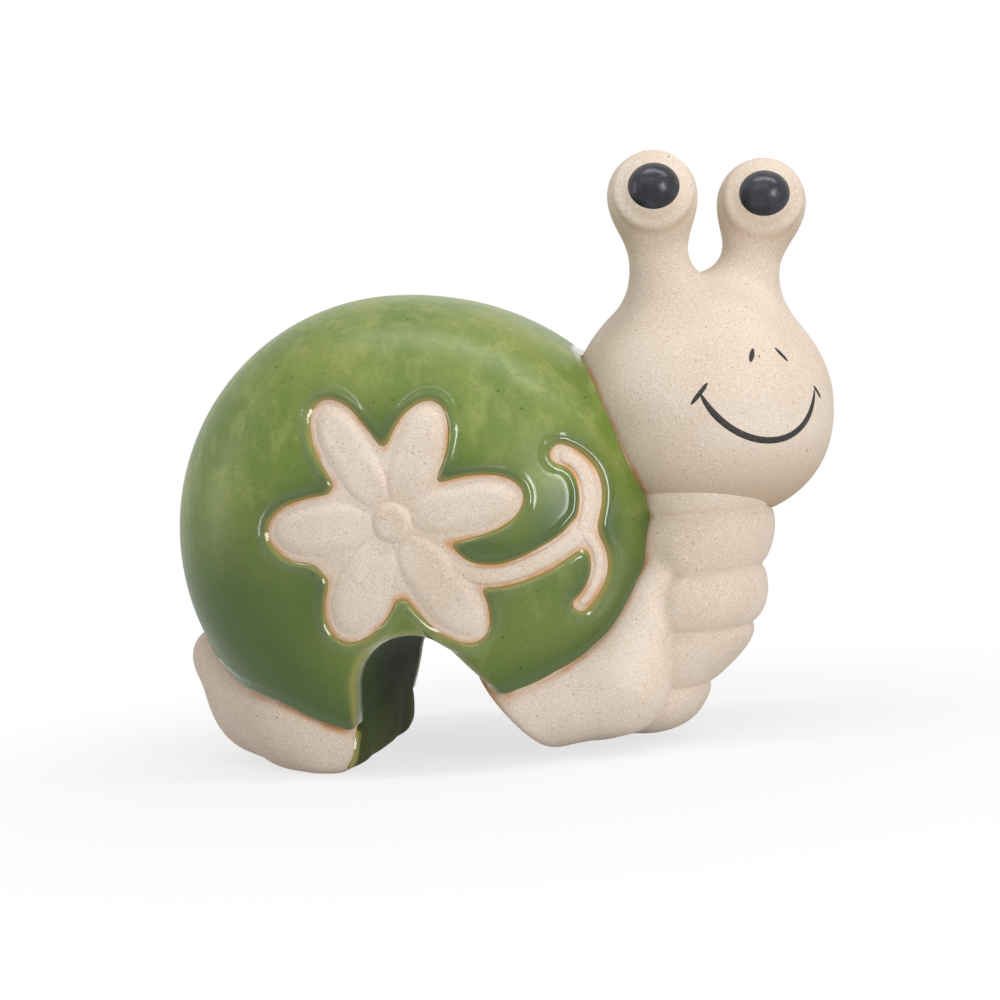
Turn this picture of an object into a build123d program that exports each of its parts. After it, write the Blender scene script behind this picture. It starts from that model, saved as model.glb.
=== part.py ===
"""Snail ornament in speckled stoneware with a green glazed shell, made to sit astride a board or a pot rim.

The snail faces +X, turns its head towards -Y and stands on the plane Z = 0. Lengths are in millimetres.
The castings are luted to each other, the flower is laid on the shell, and the face is inlaid in black.
"""

import os
from functools import cache
from math import asin, atan2, cos, degrees, radians, sin, sqrt, tan

from build123d import *

# Clay and glaze
clay_wall = 5.0
glaze_thickness = 0.6
cut_overrun = 4.0

# Shell: a fat disc with its axis across the snail, drawn out a little towards the head
shell_radius = 63.2
shell_stretch = 9.0
shell_half_width = 48.0
shell_band_share = 0.25
shell_shoulder_share = 0.96
shell_sink = 0.7
shell_x = -27.5
shell_z = shell_radius - shell_sink
shell_back_x = shell_x - shell_radius
shell_front_x = shell_x + shell_radius + shell_stretch

# Slot through the belly: a round arch with one steep wall and one sloping wall
slot_advance_share = 0.1028
slot_height_share = 0.3402
slot_radius_share = 0.2532
slot_x = shell_x + slot_advance_share * shell_radius
slot_z = slot_height_share * shell_radius
slot_radius = slot_radius_share * shell_radius
slot_steep_angle = 7.4
slot_slope_angle = 38.7

# Tail foot: a flatter fat disc that rises towards its tip and is cut level underneath
tail_radius = 38.5
tail_half_height = 18.0
tail_rim = 16.0
tail_rise_angle = 24.0
tail_setback = 34.7
tail_x = shell_back_x + tail_setback
tail_z = 15.0

# Front foot: a low dome, cut level underneath, with a lobe along each side that bends up beside the chest
foot_radius = 26.0
foot_half_height = 16.5
foot_rim = 13.0
foot_setback = 25.7
foot_x = shell_front_x - foot_setback
foot_z = 15.0
heel_setback = 15.0
heel_x = foot_x - heel_setback
heel_half_spacing = 18.0
heel_z = 15.0
heel_radius = 13.0
knee_advance = 10.0
knee_x = foot_x + knee_advance
knee_half_spacing = 17.5
knee_z = 19.5
knee_radius = 14.0
lobe_tip_advance = 24.5
lobe_tip_x = foot_x + lobe_tip_advance
lobe_tip_half_spacing = 15.0
lobe_tip_z = 49.5
lobe_tip_radius = 6.5

# Chest: level ribs, one above the other, whose fronts follow an arc from the neck down under the belly
chest_reach = 28.6
chest_front_x = shell_front_x + chest_reach
chest_arc_z = 57.8
chest_arc_radius = 57.0
rib_radius = 22.6
rib_half_height = 16.5
rib_rim = 16.0
rib_count = 4
rib_top_z = 69.0
rib_pitch = 15.5

# Head: a round ball, fuller below than above, with two stalks that end in eye bulbs
head_advance = 10.2
head_x = shell_front_x + head_advance
head_y = 6.5
head_z = 90.1
head_radius = 36.8
head_height_above = 35.0
head_height_below = 31.5
head_rim_above = 30.0
head_rim_below = 28.0
face_turn_angle = 55.0
eye_advance = 5.9
eye_aside = 5.5
eye_rise = 54.9
eye_x = head_x + eye_advance
eye_y = head_y - eye_aside
eye_z = head_z + eye_rise
eye_half_spacing = 16.7
eye_drop_angle = 5.5
stalk_root_advance = 2.1
stalk_root_aside = 4.5
stalk_root_rise = 13.9
stalk_root_x = head_x + stalk_root_advance
stalk_root_y = head_y - stalk_root_aside
stalk_root_z = head_z + stalk_root_rise
stalk_root_half_spacing = 11.5
stalk_root_radius = 20.0
stalk_neck_radius = 8.3
stalk_neck_share = 0.56
bulb_radius = 11.7

# Pupils: shallow domes let into the bulbs, all looking the same way
pupil_radius = 6.8
pupil_dome = 1.1
pupil_depth = 2.0
pupil_turn_angle = 80.0
pupil_lift_angle = 9.5

# Black inlay of the face, drawn on a plane square to the way the head looks
inlay_depth = 0.6
inlay_stand = 0.1
smile_radius = 17.5
smile_height = 7.2
smile_half_angle = 76.0
smile_width = 1.4
tick_inner_x = 15.3
tick_inner_height = 6.3
tick_outer_x = 20.0
tick_outer_height = 0.6
tick_width = 1.1
tick_gap = 0.15
nostril_top_x = 3.0
nostril_top_height = 14.7
nostril_bottom_x = 5.9
nostril_bottom_height = 10.4
nostril_width = 1.3

# Flower laid on the shell, drawn from the shell's axis in shares of the shell's radius
relief = 1.6
bare_margin = 1.4
tendril_gap = 0.2
bare_heart_share = 0.198
flower_x_share = 0.0934
flower_z_share = 0.0665
flower_x = flower_x_share * shell_radius
flower_z = flower_z_share * shell_radius
flower_disc_share = 0.084
petal_angles = (8.0, 66.5, 118.5, 180.0, 240.0, 303.0)
petal_reach_shares = (0.533, 0.506, 0.568, 0.522, 0.519, 0.581)
petal_root_radius_share = 0.0633
petal_root_reach_share = 0.166
petal_tip_radius_share = 0.1266
stem_width_share = 0.07
stem_shares = ((0.361, -0.139), (0.603, -0.165), (0.829, -0.038))
tendril_width_share = 0.0665
upper_tendril_shares = ((0.858, -0.01), (0.886, 0.158), (0.786, 0.293))
lower_tendril_shares = ((0.861, -0.073), (0.902, -0.191), (0.813, -0.329))

# Vents that let the hollow castings breathe in the kiln
vent_radius = 4.0
neck_vent_advance = 10.1
neck_vent_drop = 16.1
neck_vent_x = head_x + neck_vent_advance
neck_vent_z = head_z - neck_vent_drop
chest_vent_setback = 18.3
chest_vent_x = chest_front_x - chest_vent_setback
chest_vent_z = 45.0
sole_vent_advance = 3.0
sole_vent_x = foot_x + sole_vent_advance


def quarter(radius, height, rim):
    """Two tangent arcs from the rim circle up to the pole: a tight one at the rim, an open one at the crown."""
    across = radius - rim
    crown = (across ** 2 + height ** 2 - rim ** 2) / (2 * (height - rim))
    turn = degrees(atan2(crown - height, across))
    return [CenterArc((across, 0), rim, 0, turn), CenterArc((0, height - crown), crown, turn, 90 - turn)]


def round_section(radius, above, below, rim_above, rim_below):
    """Half section of a round body, with the Z axis as its straight side."""
    top = quarter(radius, above, rim_above)
    bottom = [mirror(arc, Plane.XZ) for arc in quarter(radius, below, rim_below)]
    return Plane.XZ * make_face(top + bottom + [Line((0, above), (0, -below))])


def round_body(radius, above, below, rim_above, rim_below):
    """A round body on the Z axis with its widest circle at Z = 0."""
    return revolve(round_section(radius, above, below, rim_above, rim_below), Axis.Z)


def fat_disc(radius, half_height, rim):
    """A fat disc on the Z axis, alike above and below."""
    return round_body(radius, half_height, half_height, rim, rim)


def shell_edge(growth):
    """Half section of the shell: a straight band at the rim, and a round shoulder and an open crown on each side."""
    band = shell_band_share * shell_half_width
    drop = shell_half_width - band
    shoulder = shell_shoulder_share * min(shell_radius / 2, drop)
    out = shell_radius - shoulder
    crown = (out ** 2 + drop ** 2 - shoulder ** 2) / (2 * (drop - shoulder))
    rise = degrees(atan2(crown - drop, out))
    rim = shell_radius + growth
    side = [
        CenterArc((out, band), shoulder + growth, 0, rise),
        CenterArc((0, shell_half_width - crown), crown + growth, rise, 90 - rise),
    ]
    far_side = [mirror(arc, Plane.XZ) for arc in side]
    return [(Plane.XZ * piece).edge() for piece in [Line((rim, -band), (rim, band))] + side + far_side]


@cache
def shell_form(growth):
    """The shell's outside, grown outwards by a given amount: two half turns of its edge and a straight middle."""
    faces = []
    for edge in shell_edge(growth):
        turned = Rot(Z=90) * Face.revolve(edge, 180, Axis.Z)
        faces += [turned, Pos(shell_stretch, 0, 0) * Rot(Z=180) * turned]
        faces += [Face.extrude(Rot(Z=side) * edge, (shell_stretch, 0, 0)) for side in (-90, 90)]
    return Pos(shell_x, 0, shell_z) * Rot(X=90) * Solid(Shell(faces))


@cache
def slot_form(growth):
    """The space of the slot, run out past both sides and below the ground."""
    radius = slot_radius + growth
    steep = radians(slot_steep_angle)
    slope = radians(slot_slope_angle)
    steep_top = (slot_x - radius * cos(steep), slot_z + radius * sin(steep))
    slope_top = (slot_x + radius * cos(slope), slot_z + radius * sin(slope))
    steep_foot = (steep_top[0] - (steep_top[1] + cut_overrun) * tan(steep), -cut_overrun)
    slope_foot = (slope_top[0] + (slope_top[1] + cut_overrun) * tan(slope), -cut_overrun)
    arch = ThreePointArc(steep_top, (slot_x, slot_z + radius), slope_top)
    sides = Polyline(slope_top, slope_foot, steep_foot, steep_top)
    outline = Plane.XZ * make_face([arch, sides])
    return extrude(outline, shell_half_width + cut_overrun, both=True)


def above_ground(height):
    """All the space above a level that the snail could fill."""
    side = 4 * shell_radius
    return Pos(0, 0, height) * Box(side, side, side, align=(Align.CENTER, Align.CENTER, Align.MIN))


@cache
def tail_form():
    """The tail foot's outside."""
    disc = Pos(tail_x, 0, tail_z) * Rot(Y=tail_rise_angle) * fat_disc(tail_radius, tail_half_height, tail_rim)
    return disc & above_ground(0)


def make_tail_foot():
    """Tail foot, seated on the shell and cut flush with the slot's steep wall."""
    return tail_form() - shell_form(0) - slot_form(0)


def tapered_rod(start, end, start_radius, end_radius):
    """A rod with round ends, whose sides touch the balls at both ends."""
    run = Vector(*end) - Vector(*start)
    lean = asin((start_radius - end_radius) / run.length)
    tilt = degrees(lean)
    side_start = (start_radius * cos(lean), start_radius * sin(lean))
    side_end = (end_radius * cos(lean), run.length + end_radius * sin(lean))
    outline = [
        CenterArc((0, 0), start_radius, -90, 90 + tilt),
        Line(side_start, side_end),
        CenterArc((0, run.length), end_radius, tilt, 90 - tilt),
        Line((0, run.length + end_radius), (0, -start_radius)),
    ]
    return Plane(start, z_dir=run) * revolve(Plane.XZ * make_face(outline), Axis.Z)


@cache
def foot_form():
    """The front foot's outside."""
    body = Pos(foot_x, 0, foot_z) * fat_disc(foot_radius, foot_half_height, foot_rim)
    for side in (-1, 1):
        heel = (heel_x, side * heel_half_spacing, heel_z)
        knee = (knee_x, side * knee_half_spacing, knee_z)
        tip = (lobe_tip_x, side * lobe_tip_half_spacing, lobe_tip_z)
        body += tapered_rod(heel, knee, heel_radius, knee_radius)
        body += tapered_rod(knee, tip, knee_radius, lobe_tip_radius)
    return body & above_ground(0)


def make_front_foot():
    """Front foot, seated on the shell and cut by the slot's sloping wall."""
    return foot_form() - shell_form(0) - slot_form(0) - vent_passage()


def make_chest():
    """Chest: overlapping ribs, seated on the shell, the foot and the head."""
    body = None
    for index in range(rib_count):
        height = rib_top_z - index * rib_pitch
        set_back = chest_arc_radius - sqrt(chest_arc_radius ** 2 - (height - chest_arc_z) ** 2)
        front = chest_front_x - set_back
        rib = Pos(front - rib_radius, 0, height) * fat_disc(rib_radius, rib_half_height, rib_rim)
        body = rib if body is None else body + rib
    body = (body & above_ground(0)) - shell_form(0) - head_ball(0) - slot_form(0)
    return body - foot_form() - vent_passage()


@cache
def head_ball(growth):
    """The head's ball, grown outwards by a given amount."""
    ball = round_body(
        head_radius + growth,
        head_height_above + growth,
        head_height_below + growth,
        head_rim_above + growth,
        head_rim_below + growth,
    )
    return Pos(head_x, head_y, head_z) * ball


def face_side():
    """Level direction from the near eye to the far eye."""
    turn = radians(face_turn_angle)
    return Vector(sin(turn), cos(turn), 0)


def bulb_centre(side):
    """Centre of one eye bulb."""
    drop = radians(eye_drop_angle)
    level = face_side() * (side * eye_half_spacing * cos(drop))
    return Vector(eye_x, eye_y, eye_z - side * eye_half_spacing * sin(drop)) + level


def stalk_form(side):
    """One eye stalk with its bulb, turned about the line from the head up to the bulb."""
    root = Vector(stalk_root_x, stalk_root_y, stalk_root_z) + face_side() * (side * stalk_root_half_spacing)
    rise = bulb_centre(side) - root
    length = rise.length
    neck = stalk_neck_share * length
    above = length - neck
    spare = stalk_root_radius - stalk_neck_radius
    root_round = (spare ** 2 + neck ** 2) / (2 * spare)
    bulb_round = (stalk_neck_radius ** 2 + above ** 2 - bulb_radius ** 2) / (2 * (bulb_radius - stalk_neck_radius))
    root_turn = degrees(atan2(neck, root_round - spare))
    bulb_turn = degrees(atan2(above, stalk_neck_radius + bulb_round))
    outline = [
        Line((0, 0), (stalk_root_radius, 0)),
        CenterArc((stalk_neck_radius + root_round, neck), root_round, 180, root_turn),
        CenterArc((stalk_neck_radius + bulb_round, neck), bulb_round, 180 - bulb_turn, bulb_turn),
        CenterArc((0, length), bulb_radius, -bulb_turn, 90 + bulb_turn),
        Line((0, length + bulb_radius), (0, 0)),
    ]
    return Plane(root, z_dir=rise) * revolve(Plane.XZ * make_face(outline), Axis.Z)


def pupil_plane(side):
    """Plane at a bulb's centre whose normal is the way the pupils look."""
    turn = radians(pupil_turn_angle)
    lift = radians(pupil_lift_angle)
    look = Vector(cos(turn) * cos(lift), -sin(turn) * cos(lift), sin(lift))
    return Plane(bulb_centre(side), z_dir=look)


def make_pupil(side):
    """One pupil: a peg with a domed end, let into its bulb."""
    floor = bulb_radius - pupil_depth
    peg = Pos(0, 0, floor) * Cylinder(
        pupil_radius, bulb_radius, align=(Align.CENTER, Align.CENTER, Align.MIN)
    )
    return pupil_plane(side) * (peg & Sphere(bulb_radius + pupil_dome))


@cache
def vent_passage():
    """Narrow way from the sole up through the chest into the hollow head."""
    corner = Vector(chest_vent_x, 0, chest_vent_z)
    foot = Vector(sole_vent_x, 0, -cut_overrun)
    top = Vector(neck_vent_x, 0, neck_vent_z)
    passage = Pos(*corner) * Sphere(vent_radius)
    for end in (foot, top):
        run = end - corner
        passage += Plane(corner, z_dir=run) * Cylinder(
            vent_radius, run.length, align=(Align.CENTER, Align.CENTER, Align.MIN)
        )
    return passage


def make_head(pupils, inlays):
    """Hollow head with its stalks, seated against the shell, with sockets for the pupils and the inlay."""
    body = head_ball(0) + stalk_form(-1) + stalk_form(1)
    body = body - head_ball(-clay_wall) - shell_form(0) - vent_passage()
    for piece in pupils + inlays:
        body -= piece
    return body


def face_plane():
    """Plane through the head's centre, square to the way the head looks."""
    turn = radians(face_turn_angle)
    look = Vector(cos(turn), -sin(turn), 0)
    return Plane((head_x, head_y, head_z), x_dir=face_side(), z_dir=look)


def inlay(stroke):
    """A drawn stroke let into the front of the head."""
    prism = face_plane() * extrude(stroke, head_radius + cut_overrun)
    return prism & (head_ball(inlay_stand) - head_ball(-inlay_depth))


def pen(start, end, width):
    """A straight stroke with round ends."""
    return trace(Line(start, end), width) + Pos(*start) * Circle(width / 2) + Pos(*end) * Circle(width / 2)


def smile_stroke(width):
    """The smile as an arc drawn with a pen of a given width."""
    arc = CenterArc((0, smile_height), smile_radius, -90 - smile_half_angle, 2 * smile_half_angle)
    ends = Pos(*(arc @ 0)) * Circle(width / 2) + Pos(*(arc @ 1)) * Circle(width / 2)
    return trace(arc, width) + ends


def make_inlays():
    """The smile, its two corner ticks and the two nostrils, by node name."""
    smile = inlay(smile_stroke(smile_width))
    around_smile = smile_stroke(smile_width + 2 * tick_gap)
    pieces = {"smile_line": smile}
    for name, side in (("right", -1), ("left", 1)):
        inner = (side * tick_inner_x, tick_inner_height)
        outer = (side * tick_outer_x, tick_outer_height)
        pieces[name + "_smile_tick"] = inlay(pen(inner, outer, tick_width) - around_smile)
        top = (side * nostril_top_x, nostril_top_height)
        bottom = (side * nostril_bottom_x, nostril_bottom_height)
        pieces[name + "_nostril"] = inlay(pen(top, bottom, nostril_width))
    return pieces


def petal_outline(index, growth):
    """One petal: the tangent hull of a small circle at the disc and a large one at the tip."""
    tip_reach = (petal_reach_shares[index] - petal_tip_radius_share) * shell_radius
    root = Pos(petal_root_reach_share * shell_radius, 0) * Circle(petal_root_radius_share * shell_radius + growth)
    tip = Pos(tip_reach, 0) * Circle(petal_tip_radius_share * shell_radius + growth)
    hull = make_hull(root.edges() + tip.edges())
    return Pos(flower_x, flower_z) * Rot(Z=petal_angles[index]) * hull


def stroke_outline(shares, width):
    """A curved stroke with round ends on the shell."""
    points = [(x * shell_radius, z * shell_radius) for x, z in shares]
    path = ThreePointArc(*points)
    return trace(path, width) + Pos(*points[0]) * Circle(width / 2) + Pos(*points[-1]) * Circle(width / 2)


def heart_circle(radius):
    """A circle at the heart of the flower."""
    return Pos(flower_x, flower_z) * Circle(radius)


def flower_outlines(growth):
    """Outlines of the flower's pieces on the shell's side plane, by node name."""
    outlines = {f"petal_{index + 1}": petal_outline(index, growth) for index in range(len(petal_angles))}
    stem_width = stem_width_share * shell_radius + 2 * growth
    tendril_width = tendril_width_share * shell_radius + 2 * growth
    outlines["flower_disc"] = heart_circle(flower_disc_share * shell_radius + growth)
    outlines["flower_stem"] = stroke_outline(stem_shares, stem_width)
    outlines["upper_tendril"] = stroke_outline(upper_tendril_shares, tendril_width)
    outlines["lower_tendril"] = stroke_outline(lower_tendril_shares, tendril_width)
    return outlines


def side_prism(outline):
    """An outline on the shell's side plane, run out through the near side."""
    placed = Plane((shell_x, 0, shell_z), x_dir=(1, 0, 0), z_dir=(0, -1, 0)) * outline
    return extrude(placed, shell_half_width + relief + cut_overrun)


def make_flower():
    """The flower's raised pieces, each cut clear of the ones before it."""
    layer = shell_form(relief) - shell_form(0)
    outlines = flower_outlines(0)
    wide = flower_outlines(tendril_gap)
    order = ["flower_disc"] + [name for name in outlines if name != "flower_disc"]
    pieces = {}
    for place, name in enumerate(order):
        outline = outlines[name]
        for earlier in order[:place]:
            outline = outline - wide[earlier]
        pieces[name] = layer & side_prism(outline)
    return pieces


@cache
def roof_vent():
    """Vent through the roof of the slot into the hollow shell."""
    shaft = Cylinder(vent_radius, slot_radius + clay_wall + cut_overrun, align=(Align.CENTER, Align.CENTER, Align.MIN))
    return Pos(slot_x, 0, slot_z) * shaft


def make_shell():
    """Hollow shell with the slot through it and a vent in the roof of the slot."""
    hollow = shell_form(-clay_wall) - slot_form(clay_wall)
    return (shell_form(0) & above_ground(0)) - slot_form(0) - hollow - roof_vent()


def make_glaze(chest):
    """Glaze over the shell and the slot's walls, stopped at the bare clay and round the flower."""
    coat = (shell_form(glaze_thickness) - shell_form(0)) - slot_form(0)
    lining = (slot_form(0) - slot_form(-glaze_thickness)) & (shell_form(glaze_thickness) + tail_form())
    glaze = (coat - tail_form()) + (lining - roof_vent())
    glaze = glaze & above_ground(glaze_thickness)
    for body in (foot_form(), head_ball(0), chest):
        glaze -= body
    for outline in list(flower_outlines(bare_margin).values()) + [heart_circle(bare_heart_share * shell_radius)]:
        glaze -= side_prism(outline)
    return glaze


def build():
    """All pieces by node name, before they are centred."""
    inlays = make_inlays()
    pupils = {"right_pupil": make_pupil(-1), "left_pupil": make_pupil(1)}
    pieces = {
        "shell_casting": make_shell(),
        "tail_foot": make_tail_foot(),
        "front_foot": make_front_foot(),
        "head_casting": make_head(list(pupils.values()), list(inlays.values())),
    }
    pieces["chest"] = make_chest()
    pieces["shell_glaze"] = make_glaze(pieces["chest"])
    return pieces | pupils | inlays | make_flower()


def main():
    """Centre the snail on its box and write one file for each piece."""
    pieces = build()
    box = Compound(children=[Compound(piece.solids()) for piece in pieces.values()]).bounding_box()
    shift = Pos(-box.center().X, -box.center().Y, -box.min.Z)
    os.makedirs("parts", exist_ok=True)
    for name, piece in pieces.items():
        export_step(Compound(children=(shift * piece).solids(), label=name), f"parts/{name}.step")


main()
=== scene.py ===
"""Looks of the snail ornament: speckled stoneware under a pooled green glaze, with black eyes and face
lines."""

import bmesh
import bpy
import numpy as np
from mathutils import Matrix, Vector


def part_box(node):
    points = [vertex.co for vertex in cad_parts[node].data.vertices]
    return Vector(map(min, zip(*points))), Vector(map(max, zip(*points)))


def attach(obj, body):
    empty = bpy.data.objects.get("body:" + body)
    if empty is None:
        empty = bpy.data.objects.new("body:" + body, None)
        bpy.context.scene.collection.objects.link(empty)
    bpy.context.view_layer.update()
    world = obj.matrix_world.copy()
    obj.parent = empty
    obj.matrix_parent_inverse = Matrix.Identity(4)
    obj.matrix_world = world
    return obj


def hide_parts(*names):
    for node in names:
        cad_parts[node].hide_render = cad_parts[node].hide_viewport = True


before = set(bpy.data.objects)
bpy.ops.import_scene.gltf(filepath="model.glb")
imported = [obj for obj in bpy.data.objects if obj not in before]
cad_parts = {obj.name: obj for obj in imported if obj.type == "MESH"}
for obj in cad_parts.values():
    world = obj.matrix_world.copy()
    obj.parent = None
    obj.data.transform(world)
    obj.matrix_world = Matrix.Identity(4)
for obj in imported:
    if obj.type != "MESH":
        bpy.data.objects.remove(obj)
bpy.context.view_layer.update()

# The studio: a pale floor, an even white surround, and four lamps: a broad soft box overhead, a strip in
# front, a box at the right and a weak one at the left. The camera stands level with the head, a little to
# the front, rolled as the photograph is.

camera_place = (0.11933, -0.63478, 0.10387)
camera_right = (0.98022, 0.18224, -0.07715)
camera_up = (0.06560, 0.06859, 0.99549)
camera_back = (0.18670, -0.98086, 0.05528)
camera = bpy.data.objects.new("camera", bpy.data.cameras.new("camera"))
camera.data.lens = 84.6
camera.data.sensor_width = 36
camera.data.clip_start = 0.01
camera.matrix_world = Matrix(
    [[*row] for row in zip(camera_right, camera_up, camera_back, camera_place)] + [[0, 0, 0, 1]]
)
bpy.context.collection.objects.link(camera)
bpy.context.scene.camera = camera
bpy.context.scene.view_settings.view_transform = "Standard"


class Shade:
    """A socket of a node tree. Sums and products of sockets add Math nodes."""

    def __init__(self, tree, socket=None):
        self.tree = tree
        self.socket = socket

    def node(self, kind, settings, sockets, output=0):
        """Adds a node of this kind: its settings first, then the values or links of its sockets."""
        made = self.tree.nodes.new("ShaderNode" + kind)
        for name, value in settings.items():
            setattr(made, name, value)
        for key, value in sockets.items():
            if isinstance(value, Shade):
                self.tree.links.new(value.socket, made.inputs[key])
            else:
                made.inputs[key].default_value = value
        return Shade(self.tree, made.outputs[output] if made.outputs else None)

    def math(self, operation, first, second):
        return self.node("Math", {"operation": operation}, {0: first, 1: second})

    def __add__(self, other):
        return self.math("ADD", self, other)

    def __radd__(self, other):
        return self.math("ADD", other, self)

    def __sub__(self, other):
        return self.math("SUBTRACT", self, other)

    def __rsub__(self, other):
        return self.math("SUBTRACT", other, self)

    def __mul__(self, other):
        return self.math("MULTIPLY", self, other)

    def __rmul__(self, other):
        return self.math("MULTIPLY", other, self)

    def ramp(self, low, high):
        """Nought below low, one above high, and an S-shaped rise between."""
        sockets = {"Value": self, "From Min": low, "From Max": high}
        return self.node("MapRange", {"interpolation_type": "SMOOTHSTEP"}, sockets)

    def blend(self, under, over):
        """One colour where this value is nought, another where it is one."""
        return self.node("Mix", {"data_type": "RGBA"}, {0: self, 6: under, 7: over}, 2)


def seen_rays(canvas):
    """One for rays from the camera or a mirror or glass, nought for rays that carry light."""
    path = canvas.node("LightPath", {}, {}, 0)
    glossy = Shade(canvas.tree, path.socket.node.outputs["Is Glossy Ray"])
    through = Shade(canvas.tree, path.socket.node.outputs["Is Transmission Ray"])
    return path.math("MAXIMUM", path.math("MAXIMUM", path, glossy), through)


world = bpy.data.worlds.new("surround")
world.use_nodes = True
world.node_tree.nodes.clear()
surround = Shade(world.node_tree)
fill_strength = 0.46
seen = seen_rays(surround)
strength = seen * (1 - fill_strength) + fill_strength
sky = surround.node("Background", {}, {"Color": (1, 1, 1, 1), "Strength": strength})
surround.node("OutputWorld", {}, {"Surface": sky})
bpy.context.scene.world = world

floor_paint = bpy.data.materials.new("pale_floor")
floor_paint.use_nodes = True
floor_paint.node_tree.nodes.clear()
canvas = Shade(floor_paint.node_tree)
seen = seen_rays(canvas)
floor_tint = seen.blend((0.7, 0.7, 0.7, 1), (0.88, 0.88, 0.88, 1))
matt = canvas.node("BsdfDiffuse", {}, {"Color": floor_tint})
white = canvas.node("Emission", {}, {"Color": (1, 1, 1, 1), "Strength": 1})
spot = canvas.node("VectorMath", {"operation": "LENGTH"}, {0: canvas.node("TexCoord", {}, {}, 3)}, 1)
whiteness = spot.ramp(0.09, 0.22) * 0.28 + 0.72
floor_look = canvas.node("MixShader", {}, {0: seen * whiteness, 1: matt, 2: white})
canvas.node("OutputMaterial", {}, {"Surface": floor_look})
floor_half = 6
floor_mesh = bpy.data.meshes.new("floor")
floor_corners = [(x * floor_half, y * floor_half, 0) for x, y in ((-1, -1), (1, -1), (1, 1), (-1, 1))]
floor_mesh.from_pydata(floor_corners, [], [(0, 1, 2, 3)])
floor_mesh.materials.append(floor_paint)
floor = bpy.data.objects.new("floor", floor_mesh)
bpy.context.collection.objects.link(floor)


def soft_box(name, place, target, width, depth, power):
    """A rectangular lamp at a place, turned so that its face looks at the target."""
    lamp = bpy.data.lights.new(name, "AREA")
    lamp.shape = "RECTANGLE"
    lamp.size, lamp.size_y, lamp.energy = width, depth, power
    holder = bpy.data.objects.new(name, lamp)
    away = np.subtract(place, target)
    away = away / np.linalg.norm(away)
    across = np.cross((0, 1, 0), away)
    across = across / np.linalg.norm(across)
    rows = zip(across, np.cross(away, across), away, place)
    holder.matrix_world = Matrix([[*row] for row in rows] + [[0, 0, 0, 1]])
    bpy.context.collection.objects.link(holder)


soft_box("overhead_box", (0.22, -0.16, 1.05), (0, 0, 0.08), 1.2, 0.18, 5.0)
soft_box("front_strip", (0.0, -0.75, 0.85), (0, 0, 0.08), 0.9, 0.05, 0.8)
soft_box("right_box", (0.70, -0.74, 0.20), (0.02, 0, 0.08), 0.5, 0.3, 4.5)
soft_box("left_box", (-0.90, -0.30, 0.30), (-0.02, 0, 0.08), 0.6, 0.14, 0.9)

# The shell casting: a hollow, fat disc of speckled stoneware, slip-cast, with an arched slot through its
# belly. Its bare clay shows only round the flower. It is luted to the tail behind and to the front foot
# and the head.

mm = 0.001
shell_low, shell_high = (np.array(corner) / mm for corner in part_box("shell_casting"))
shell_radius = 63.2
shell_back = shell_radius - 1.7
shell_half_width = (shell_high[1] - shell_low[1]) / 2
shell_centre = np.array(
    [shell_low[0] + shell_radius, shell_low[1] + shell_half_width, shell_high[2] - shell_radius]
)
shell_front = shell_high[0] - shell_centre[0] - 2.6
shell_fullness = 2.9
shell_depth = 46
slot_centre_x, slot_centre_z = shell_centre[0] + 6.5, 21.5
slot_radius = 16.0
slot_lip = 4.0
wall_foot = 13.0
slot_steep, slot_slope = np.radians(7.4), np.radians(38.7)
steep_lean, slope_lean = 0.13, 0.80


def outline_share(x, z):
    """How far out a point lies in the disc: nought on the axis, one on the rim, which is drawn out in
    front."""
    across = x - shell_centre[0]
    long_axis = np.where(across > 0, shell_front, shell_back)
    return np.hypot(across / long_axis, (z - shell_centre[2]) / shell_radius)


def shell_field(p):
    """About the distance from the shell's skin: a round disc in x and z whose section is a full
    superellipse."""
    rho = outline_share(p[..., 0], p[..., 2])
    side = np.abs(p[..., 1] - shell_centre[1]) / shell_half_width
    return ((rho**shell_fullness + side**shell_fullness) ** (1 / shell_fullness) - 1) * shell_depth


def rim_reach(turn):
    """Length of a ray in the plane of the disc from the slot's centre to the disc's rim: the root of a
    quadratic."""
    reach = []
    for long_axis in (shell_front, shell_back):
        dx, dz = np.cos(turn) / long_axis, np.sin(turn) / shell_radius
        x = (slot_centre_x - shell_centre[0]) / long_axis
        z = (slot_centre_z - shell_centre[2]) / shell_radius
        square, half = dx**2 + dz**2, x * dx + z * dz
        reach.append((np.sqrt(half**2 - square * (x**2 + z**2 - 1)) - half) / square)
    ahead = slot_centre_x + reach[0] * np.cos(turn) > shell_centre[0]
    return np.where(ahead, reach[0], reach[1])


def slot_reach(turn, radius):
    """Length of the same ray to the slot's wall: an arc above, and below it the two straight walls."""
    off = np.maximum(np.maximum(slot_slope - turn, turn - (np.pi - slot_steep)), 0)
    return radius / np.cos(np.minimum(off, np.radians(80)))


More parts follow.
